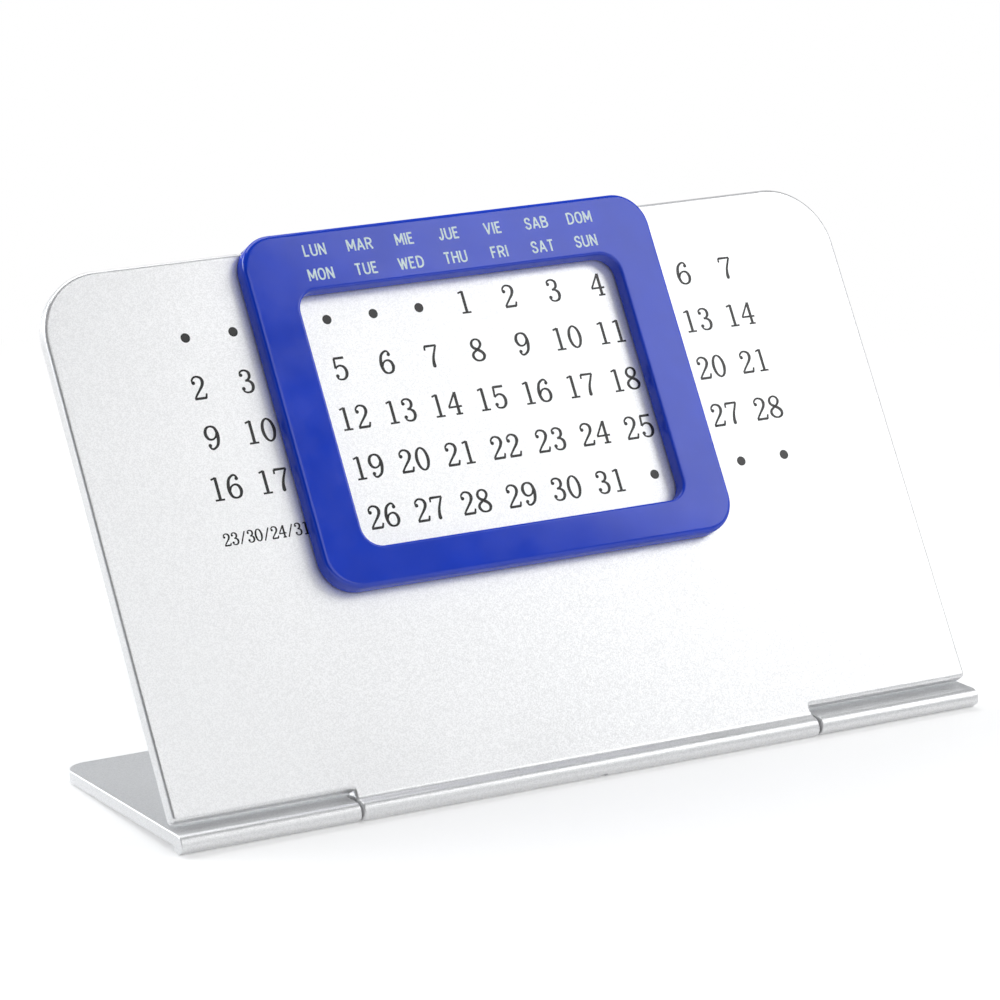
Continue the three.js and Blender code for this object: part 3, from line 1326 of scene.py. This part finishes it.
def capital(width: int, *strokes: tuple[tuple[int, int], ...], curved: tuple[int, ...] = ()) -> Glyph:
    """A capital drawn with one even pen.

    Args:
        width: Its width between the middles of its outer strokes, in hundredths of a millimetre.
        *strokes: Points of each stroke in a box of 100 by 100, from (0, 0) at the lower left.
        curved: Numbers of the strokes that are curves.

    Returns:
        The glyph, in millimetres about its middle.
    """
    made = []
    for number, points in enumerate(strokes):
        line = Line.FLOWING if number in curved else Line.STRAIGHT
        box = hundredths(*points)
        inked = tuple(((x - 0.5) * (width / 100), y * CAPITAL_HEIGHT, CAPITAL_PEN) for x, y in box)
        made.append(Stroke(inked, line, CAPITAL_SAMPLES))
    return tuple(made)


STEM = ((0, -2), (0, 102))
FAR_STEM = ((100, -2), (100, 102))

CAPITALS: dict[str, Glyph] = {
    "A": capital(115, ((0, -2), (50, 102)), ((50, 102), (100, -2)), ((18, 30), (82, 30))),
    "B": capital(
        100, STEM, ((0, 96), (50, 96), (86, 86), (86, 64), (50, 54), (0, 54)),
        ((0, 54), (55, 54), (96, 42), (96, 16), (55, 4), (0, 4)), curved=(1, 2),
    ),
    "D": capital(
        105, STEM, ((0, 96), (45, 96), (86, 82), (100, 50), (86, 18), (45, 4), (0, 4)), curved=(1,),
    ),
    "E": capital(85, STEM, ((0, 96), (100, 96)), ((0, 52), (85, 52)), ((0, 4), (100, 4))),
    "F": capital(80, STEM, ((0, 96), (100, 96)), ((0, 52), (85, 52))),
    "H": capital(100, STEM, FAR_STEM, ((0, 52), (100, 52))),
    "I": capital(20, ((50, -2), (50, 102))),
    "J": capital(80, ((80, 102), (80, 60), (80, 30), (66, 8), (40, 3), (14, 8), (2, 28)), curved=(0,)),
    "L": capital(80, STEM, ((0, 4), (95, 4))),
    "M": capital(125, STEM, FAR_STEM, ((0, 100), (50, 20)), ((50, 20), (100, 100))),
    "N": capital(100, STEM, FAR_STEM, ((0, 100), (100, 0))),
    "O": capital(
        110, ((50, 97), (14, 86), (0, 50), (14, 14), (50, 3), (86, 14), (100, 50), (86, 86), (50, 97)),
        curved=(0,),
    ),
    "R": capital(
        100, STEM, ((0, 96), (50, 96), (90, 85), (90, 60), (50, 49), (0, 49)), ((50, 49), (100, -2)),
        curved=(1,),
    ),
    "S": capital(
        95,
        (
            (96, 74), (82, 91), (50, 97), (16, 89), (5, 73), (20, 58), (50, 50), (82, 42), (97, 26),
            (84, 9), (50, 3), (16, 9), (0, 27),
        ),
        curved=(0,),
    ),
    "T": capital(100, ((0, 96), (100, 96)), ((50, -2), (50, 96))),
    "U": capital(
        100, ((0, 102), (0, 65), (0, 30), (15, 9), (50, 3), (85, 9), (100, 30), (100, 65), (100, 102)),
        curved=(0,),
    ),
    "V": capital(110, ((0, 102), (50, -2)), ((50, -2), (100, 102))),
    "W": capital(
        150, ((0, 102), (25, -2)), ((25, -2), (50, 95)), ((50, 95), (75, -2)), ((75, -2), (100, 102)),
    ),
}


@dataclass(frozen=True)
class Typeface:
    """How glyphs are set.

    Attributes:
        glyphs: The glyphs by character.
        advance: From one character to the next in millimetres, or 0 to set each by its own width.
        scale: What a glyph's x and y are multiplied by.
        origin: The point of a glyph's own frame that stands on the line's middle.
        pen_scale: What the pen's width is multiplied by.
        gap: From one glyph's outer stroke to the next glyph's, where each has its own width.
    """

    glyphs: Mapping[str, Glyph]
    advance: float
    scale: Pair = (1.0, 1.0)
    origin: Pair = (0.0, 0.0)
    pen_scale: float = 1.0
    gap: float = 0.0

    def room(self, character: str) -> float:
        """The width that a character takes up in a line."""
        if self.advance:
            return self.advance
        across = [point[0] for mark in self.glyphs[character] for point in mark.points]
        return max(across) - min(across) + self.gap

    def set_line(self, text: str, centre: float, baseline: float) -> list[Mark]:
        """Sets a line of text about its centre.

        Args:
            text: The characters.
            centre: The line's middle across.
            baseline: The line's foot.

        Returns:
            All marks in place.
        """
        rooms = [self.room(character) for character in text]
        middles = centre - sum(rooms) / 2 + np.cumsum(rooms) - np.array(rooms) / 2
        marks = []
        for character, middle in zip(text, middles.tolist(), strict=True):
            for mark in self.glyphs[character]:
                marks.append(placed(mark, self.scale, self.origin, (middle, baseline), self.pen_scale))
        return marks


@dataclass(frozen=True)
class PrintedFace:
    """A flat face that ink is printed on.

    Attributes:
        front: Place of the face.
        thickness: Thickness of the ink.
        keyed: How far the ink goes into the face.
        layer: What each next mark stands higher, so that marks that cross have one surface on top.
        layers: After how many marks that starts again.
    """

    front: float
    thickness: float = 0.012
    keyed: float = 0.01
    layer: float = 0.0006
    layers: int = 5

    def build(self, name: str, marks: Iterable[Mark], frame: HingeFrame) -> bpy.types.Object:
        """Makes the ink of all marks as one piece.

        Args:
            name: The piece's name.
            marks: The marks, in millimetres across and up the face.
            frame: The frame that the face stands in.

        Returns:
            The finished piece.
        """
        shells = []
        for number, mark in enumerate(marks):
            high = self.thickness + self.layer * (number % self.layers)
            shells.append(mark.shell(-self.keyed, high).moved(self.stand))
        piece = mesh_object(name, shells)
        place_mesh(piece, frame)
        return piece

    def stand(self, points: Array) -> Array:
        """Stands marks up on the face: (x, y, h) to (x, front - h, y)."""
        return upright(points) + (0.0, self.front, 0.0)


@dataclass(frozen=True)
class MonthPrint:
    """The days printed on the panel: 13 columns of 5, with a dot wherever there is no day.

    Attributes:
        first_column: Middle of the leftmost column.
        column_pitch: From column to column.
        first_row: Middle of the top row.
        row_pitch: From row to row.
        last_row_shift: How far the bottom row is printed to the right of the others.
        columns: Number of columns.
        rows: Number of rows.
        week: Days in a week.
        days: Days of the longest month.
        first_day_column: Column that holds day 1, counted from 0.
        dot_radius: Radius of a dot.
        dot_sides: Number of a dot's sides.
        numeral_shift: How far a number stands from its place's middle, across and up.
        numeral_scale: What a numeral's width and height are multiplied by.
        numeral_advance: From numeral to numeral.
        small_row: Text of the small line at the left of the bottom row.
        small_columns: Number of columns that it takes the place of.
        small_scale: What its numerals are multiplied by.
        small_pen: What its pen is multiplied by.
        small_advance: From numeral to numeral in it.
        small_place: Middle of it, in columns from the leftmost.
    """

    first_column: float = -51.1
    column_pitch: float = 8.61
    first_row: float = 81.553
    row_pitch: float = 8.592
    last_row_shift: float = 0.35
    columns: int = 13
    rows: int = 5
    week: int = 7
    days: int = 31
    first_day_column: int = 6
    dot_radius: float = 0.83
    dot_sides: int = 40
    numeral_shift: Pair = (-0.04, -0.03)
    numeral_scale: Pair = (0.97, 0.955)
    numeral_advance: float = 3.06
    small_row: str = "23/30/24/31"
    small_columns: int = 2
    small_scale: Pair = (0.5, 0.5)
    small_pen: float = 0.62
    small_advance: float = 1.42
    small_place: float = 0.56

    def marks(self) -> list[Mark]:
        """All marks of the grid, across and up the panel.

        A place in row r and column c holds the day 7 r + c less the column of day 1, plus 1.

        Returns:
            The marks, in millimetres.
        """
        middle = (0.0, NUMERAL_HEIGHT / 2)
        face = Typeface(NUMERALS, self.numeral_advance, self.numeral_scale, middle)
        across, up = self.numeral_shift
        marks: list[Mark] = []
        for row in range(self.rows):
            last = row == self.rows - 1
            start = self.first_column + last * self.last_row_shift
            y = self.first_row - self.row_pitch * row
            for column in range(self.small_columns * last, self.columns):
                x = start + self.column_pitch * column
                day = self.week * row + column - self.first_day_column + 1
                if 1 <= day <= self.days:
                    marks += face.set_line(str(day), x + across, y + up)
                else:
                    marks.append(Dot(x, y, self.dot_radius, self.dot_sides))
        small = Typeface(NUMERALS, self.small_advance, self.small_scale, middle, self.small_pen)
        centre = self.first_column + self.column_pitch * self.small_place
        return marks + small.set_line(self.small_row, centre, y)

    def build(self, panel: Panel, frame: HingeFrame) -> bpy.types.Object:
        """Prints the face of a panel that is drawn in `frame`."""
        return PrintedFace(panel.front).build("month_print", self.marks(), frame)


@dataclass(frozen=True)
class WeekdayPrint:
    """Two rows of weekday names on the frame, over the window's seven columns.

    Attributes:
        first_word: Middle of the leftmost name.
        pitch: From name to name.
        baselines: Foot of each row.
        rows: The names of each row.
        letter_gap: Gap between the outer strokes of two letters.
    """

    first_word: float = -25.14
    pitch: float = 8.414
    baselines: Pair = (91.81, 87.54)
    rows: tuple[str, str] = ("LUN MAR MIE JUE VIE SAB DOM", "MON TUE WED THU FRI SAT SUN")
    letter_gap: float = 0.53

    def marks(self) -> list[Mark]:
        """All names, across and up the frame.

        Returns:
            The marks, in millimetres.
        """
        face = Typeface(CAPITALS, 0.0, gap=self.letter_gap)
        marks: list[Mark] = []
        for baseline, names in zip(self.baselines, self.rows, strict=True):
            for number, name in enumerate(names.split()):
                marks += face.set_line(name, self.first_word + self.pitch * number, baseline)
        return marks

    def build(self, window: WindowFrame, frame: HingeFrame) -> bpy.types.Object:
        """Prints the face of a window frame that is drawn in `frame`."""
        return PrintedFace(window.ring_front).build("weekday_print", self.marks(), frame)


def direction(azimuth: float, elevation: float) -> Array:
    """A unit vector: (sin a cos e, -cos a cos e, sin e).

    Args:
        azimuth: The angle a from the front (-y) to the right (+x), in degrees.
        elevation: The angle e above the table, in degrees.

    Returns:
        The vector (x, y, z).
    """
    turn, rise = math.radians(azimuth), math.radians(elevation)
    level = math.cos(rise)
    return np.array([math.sin(turn) * level, -math.cos(turn) * level, math.sin(rise)])


def aimed(target: Triple, distance: float, azimuth: float, elevation: float) -> Matrix:
    """The place of a lamp or camera: target + distance times the direction, turned to look back.

    Args:
        target: The point (x, y, z) that it looks at, in metres.
        distance: Metres from there.
        azimuth: Degrees from the front to the right.
        elevation: Degrees above the table.

    Returns:
        Its transform.
    """
    out = distance * direction(azimuth, elevation)
    look = Vector(-out).to_track_quat("-Z", "Y")
    return Matrix.Translation(Vector(np.array(target) + out)) @ look.to_matrix().to_4x4()


@dataclass(frozen=True)
class Viewpoint:
    """Where the calendar is seen from.

    Attributes:
        azimuth: Degrees from the front to the right.
        elevation: Degrees above the table.
        distance: Metres to the target.
        target: The point at the picture's middle, in metres.
        lens: Focal length in millimetres.
        sensor: Width of the sensor in millimetres.
        nearest: Metres from which on things are seen.
    """

    azimuth: float = -29.8473
    elevation: float = 15.5389
    distance: float = 0.78182
    target: Triple = (-0.00325, -0.001765, 0.04128)
    lens: float = 171.0
    sensor: float = 36.0
    nearest: float = 0.01

    def build(self) -> None:
        """Makes the scene's camera."""
        data = bpy.data.cameras.new("viewpoint")
        data.sensor_width = self.sensor
        data.lens = self.lens
        data.clip_start = self.nearest
        camera = new_object("viewpoint", data)
        camera.matrix_world = aimed(self.target, self.distance, self.azimuth, self.elevation)
        bpy.context.scene.camera = camera


@dataclass(frozen=True)
class SoftBox:
    """A broad soft lamp aimed at the calendar.

    Attributes:
        name: The lamp's name.
        azimuth: Degrees from the front to the right.
        elevation: Degrees above the table.
        distance: Metres from the calendar.
        size: Width and height in metres.
        radiance: How bright its face is, where 1 is white.
        colour: Its tint.
    """

    name: str
    azimuth: float
    elevation: float
    distance: float
    size: Pair
    radiance: float
    colour: Colour = (1.0, 1.0, 1.0)

    def build(self) -> None:
        """Makes the lamp, whose power is pi times its area times its radiance."""
        data = bpy.data.lights.new(self.name, "AREA")
        data.shape = "RECTANGLE"
        data.size, data.size_y = self.size
        data.energy = math.pi * self.size[0] * self.size[1] * self.radiance
        data.color = self.colour
        lamp = new_object(self.name, data)
        lamp.matrix_world = aimed(LAMP_TARGET, self.distance, self.azimuth, self.elevation)
        lamp.visible_camera = False


@dataclass(frozen=True)
class Studio:
    """The plain pale floor, the surroundings and the lamps.

    Attributes:
        floor_colour: The floor's own colour, as seen.
        floor_bounce: The share of the light it catches that it throws back on the calendar.
        floor_lift: White that the floor shows the camera beside what light it catches.
        floor_half: From the floor's middle to its edge, in metres.
        near: Radius in metres within which the floor shows shadows, and where they have faded out.
        horizon: Brightness of the surroundings at the horizon.
        overhead: Their brightness overhead.
        rise: Heights of a direction, as its z, up to which they are the one and from which the other.
        dim: What is left of their brightness where the room is dark, in front on the left.
        dim_middle: Azimuth and elevation of that place's middle, in degrees.
        dim_reach: How many degrees from its middle it ends and begins to fade out.
        tint: Colour of the surroundings.
        lamps: The lamps.
    """

    floor_colour: float = 0.9
    floor_bounce: float = 0.45
    floor_lift: float = 0.25
    floor_half: float = 4.0
    near: Pair = (0.14, 0.3)
    horizon: float = 0.42
    overhead: float = 0.15
    rise: Pair = (0.15, 0.85)
    dim: float = 0.1
    dim_middle: Pair = (-30.0, 15.0)
    dim_reach: Pair = (62.0, 35.0)
    tint: Colour = (0.93, 0.965, 1.0)
    lamps: tuple[SoftBox, ...] = (
        SoftBox("key", 61.5, 37.5, 0.65, (0.38, 0.44), 2.5),
        SoftBox("front", -2.0, 34.0, 1.0, (0.9, 0.75), 1.4),
        SoftBox("low", 10.0, 9.0, 1.0, (0.8, 0.26), 0.6),
        SoftBox("back", 180.0, 60.0, 0.9, (0.8, 0.6), 2.7),
        SoftBox("side", -135.0, 18.0, 0.9, (0.7, 0.45), 4.5, (0.95, 0.975, 1.0)),
    )

    def seen(self, sheet: NodeSheet) -> Socket:
        """Tells what is seen from the light that lights things.

        Args:
            sheet: The sheet that gets the nodes.

        Returns:
            1 for rays from the camera or off a mirror or glass, and 0 for all others.
        """
        rays = sheet.add("LightPath").outputs
        camera_or_mirror = {0: rays["Is Camera Ray"], 1: rays["Is Glossy Ray"]}
        some = sheet.result("Math", camera_or_mirror, operation="MAXIMUM")
        return sheet.result("Math", {0: some, 1: rays["Is Transmission Ray"]}, operation="MAXIMUM")

    def floor_material(self) -> bpy.types.Material:
        """Makes a pale floor that shows white round the calendar and keeps its shadow.

        Up to the nearer radius it is diffuse with some white of its own. From there to the further
        radius it goes over to plain white, for the rays that see it.

        Returns:
            The material.
        """
        sheet = NodeSheet(bpy.data.materials.new("floor"))
        seen = self.seen(sheet)
        grey = sheet.remap(seen, (0.0, 1.0), (self.floor_bounce, self.floor_colour))
        lift = sheet.result("Math", {0: seen, 1: self.floor_lift}, operation="MULTIPLY")
        plain = sheet.result("BsdfDiffuse", {"Color": grey})
        near = sheet.result("AddShader", {0: plain, 1: sheet.result("Emission", {"Strength": lift})})
        length = sheet.add("VectorMath", {0: sheet.coordinates()}, operation="LENGTH").outputs["Value"]
        away = sheet.remap(length, self.near, (0.0, 1.0), interpolation_type="SMOOTHSTEP")
        share = sheet.result("Math", {0: away, 1: seen}, operation="MULTIPLY")
        white = sheet.result("Emission", {"Strength": 1.0})
        return sheet.surface(sheet.result("MixShader", {0: share, 1: near, 2: white}))

    def build_floor(self) -> None:
        """Makes the floor, a square sheet at z = 0."""
        mesh = bpy.data.meshes.new("floor")
        corners = [(x * self.floor_half, y * self.floor_half, 0) for x, y in SQUARE]
        mesh.from_pydata(corners, [], [(0, 1, 2, 3)])
        floor = new_object("floor", mesh)
        dress(floor, self.floor_material())

    def build_world(self) -> None:
        """Makes the surroundings: white to the camera, and otherwise darker from the horizon up.

        Their colour eases from horizon to overhead with the height of the direction. Its strength falls
        from 1 to `dim` with the cosine of the angle to the middle of the dim place.
        """
        world = bpy.data.worlds.new("surroundings")
        bpy.context.scene.world = world
        sheet = NodeSheet(world)
        where = sheet.add("TexCoord").outputs["Generated"]
        ramp = sheet.add("ValToRGB", {"Fac": sheet.add("SeparateXYZ", {0: where}).outputs["Z"]})
        ramp.color_ramp.interpolation = "EASE"
        levels = (self.horizon, self.overhead)
        for stop, height, level in zip(ramp.color_ramp.elements, self.rise, levels, strict=True):
            stop.position, stop.color = height, (*scaled(self.tint, level), 1.0)
        middle = direction(*self.dim_middle).tolist()
        towards = sheet.add("VectorMath", {0: where, 1: middle}, operation="DOT_PRODUCT").outputs["Value"]
        edges = (math.cos(math.radians(self.dim_reach[0])), math.cos(math.radians(self.dim_reach[1])))
        strength = sheet.remap(towards, edges, (1.0, self.dim), interpolation_type="SMOOTHSTEP")
        around = sheet.result("Background", {"Color": ramp.outputs[0], "Strength": strength})
        white = sheet.result("Background", {"Color": (1.0, 1.0, 1.0, 1.0)})
        camera = sheet.add("LightPath").outputs["Is Camera Ray"]
        sheet.add("OutputWorld", {"Surface": sheet.result("MixShader", {0: camera, 1: around, 2: white})})

    def build(self) -> None:
        """Makes floor, surroundings and lamps, and sets how colours are shown."""
        self.build_floor()
        self.build_world()
        for lamp in self.lamps:
            lamp.build()
        bpy.context.scene.view_settings.view_transform = "Standard"


def report(piece: bpy.types.Object) -> None:
    """Logs a piece's name and number of triangles."""
    piece.data.calc_loop_triangles()
    LOG.info("%s: %d triangles", piece.name, len(piece.data.loop_triangles))


def main() -> None:
    """Builds the calendar and its studio."""
    logging.basicConfig(level=logging.INFO, format="%(name)s: %(message)s")
    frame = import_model()

    line = tuple(frame["joints"][0]["pos_m"])
    base_frame = HingeFrame(line, BASE_TILT)
    panel_frame = HingeFrame(line, BASE_TILT + LEAN)
    slider_frame = replace(panel_frame, shift=FRAME_SHIFT)

    silver = SilverSpray().material()
    blue = BluePlastic().material()
    dark_ink = Ink("dark_ink", (0.022, 0.02, 0.02)).material()
    pale_ink = Ink("pale_ink", (0.74, 0.9, 1.0)).material()

    panel, window = Panel(), WindowFrame()
    made = [
        (Base().build(base_frame), "base", silver, "silver_paint", "base_plate"),
        (panel.build(panel_frame), "panel", silver, "silver_paint", "calendar_panel"),
        (window.build(slider_frame), "slider", blue, "blue_plastic", "slider_frame"),
        (MonthPrint().build(panel, panel_frame), "panel", dark_ink, None, None),
        (WeekdayPrint().build(window, slider_frame), "slider", pale_ink, None, None),
    ]
    for piece, body, material, slot, node in made:
        dress(piece, material)
        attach(piece, body)
        if node:
            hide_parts(node)
        report(piece)

    steel = PinSteel().material()
    for name in ("hinge_pin_left", "hinge_pin_right"):
        dress(frame["nodes"][name], steel)

    Viewpoint().build()
    Studio().build()


if __name__ == "__main__":
    main()
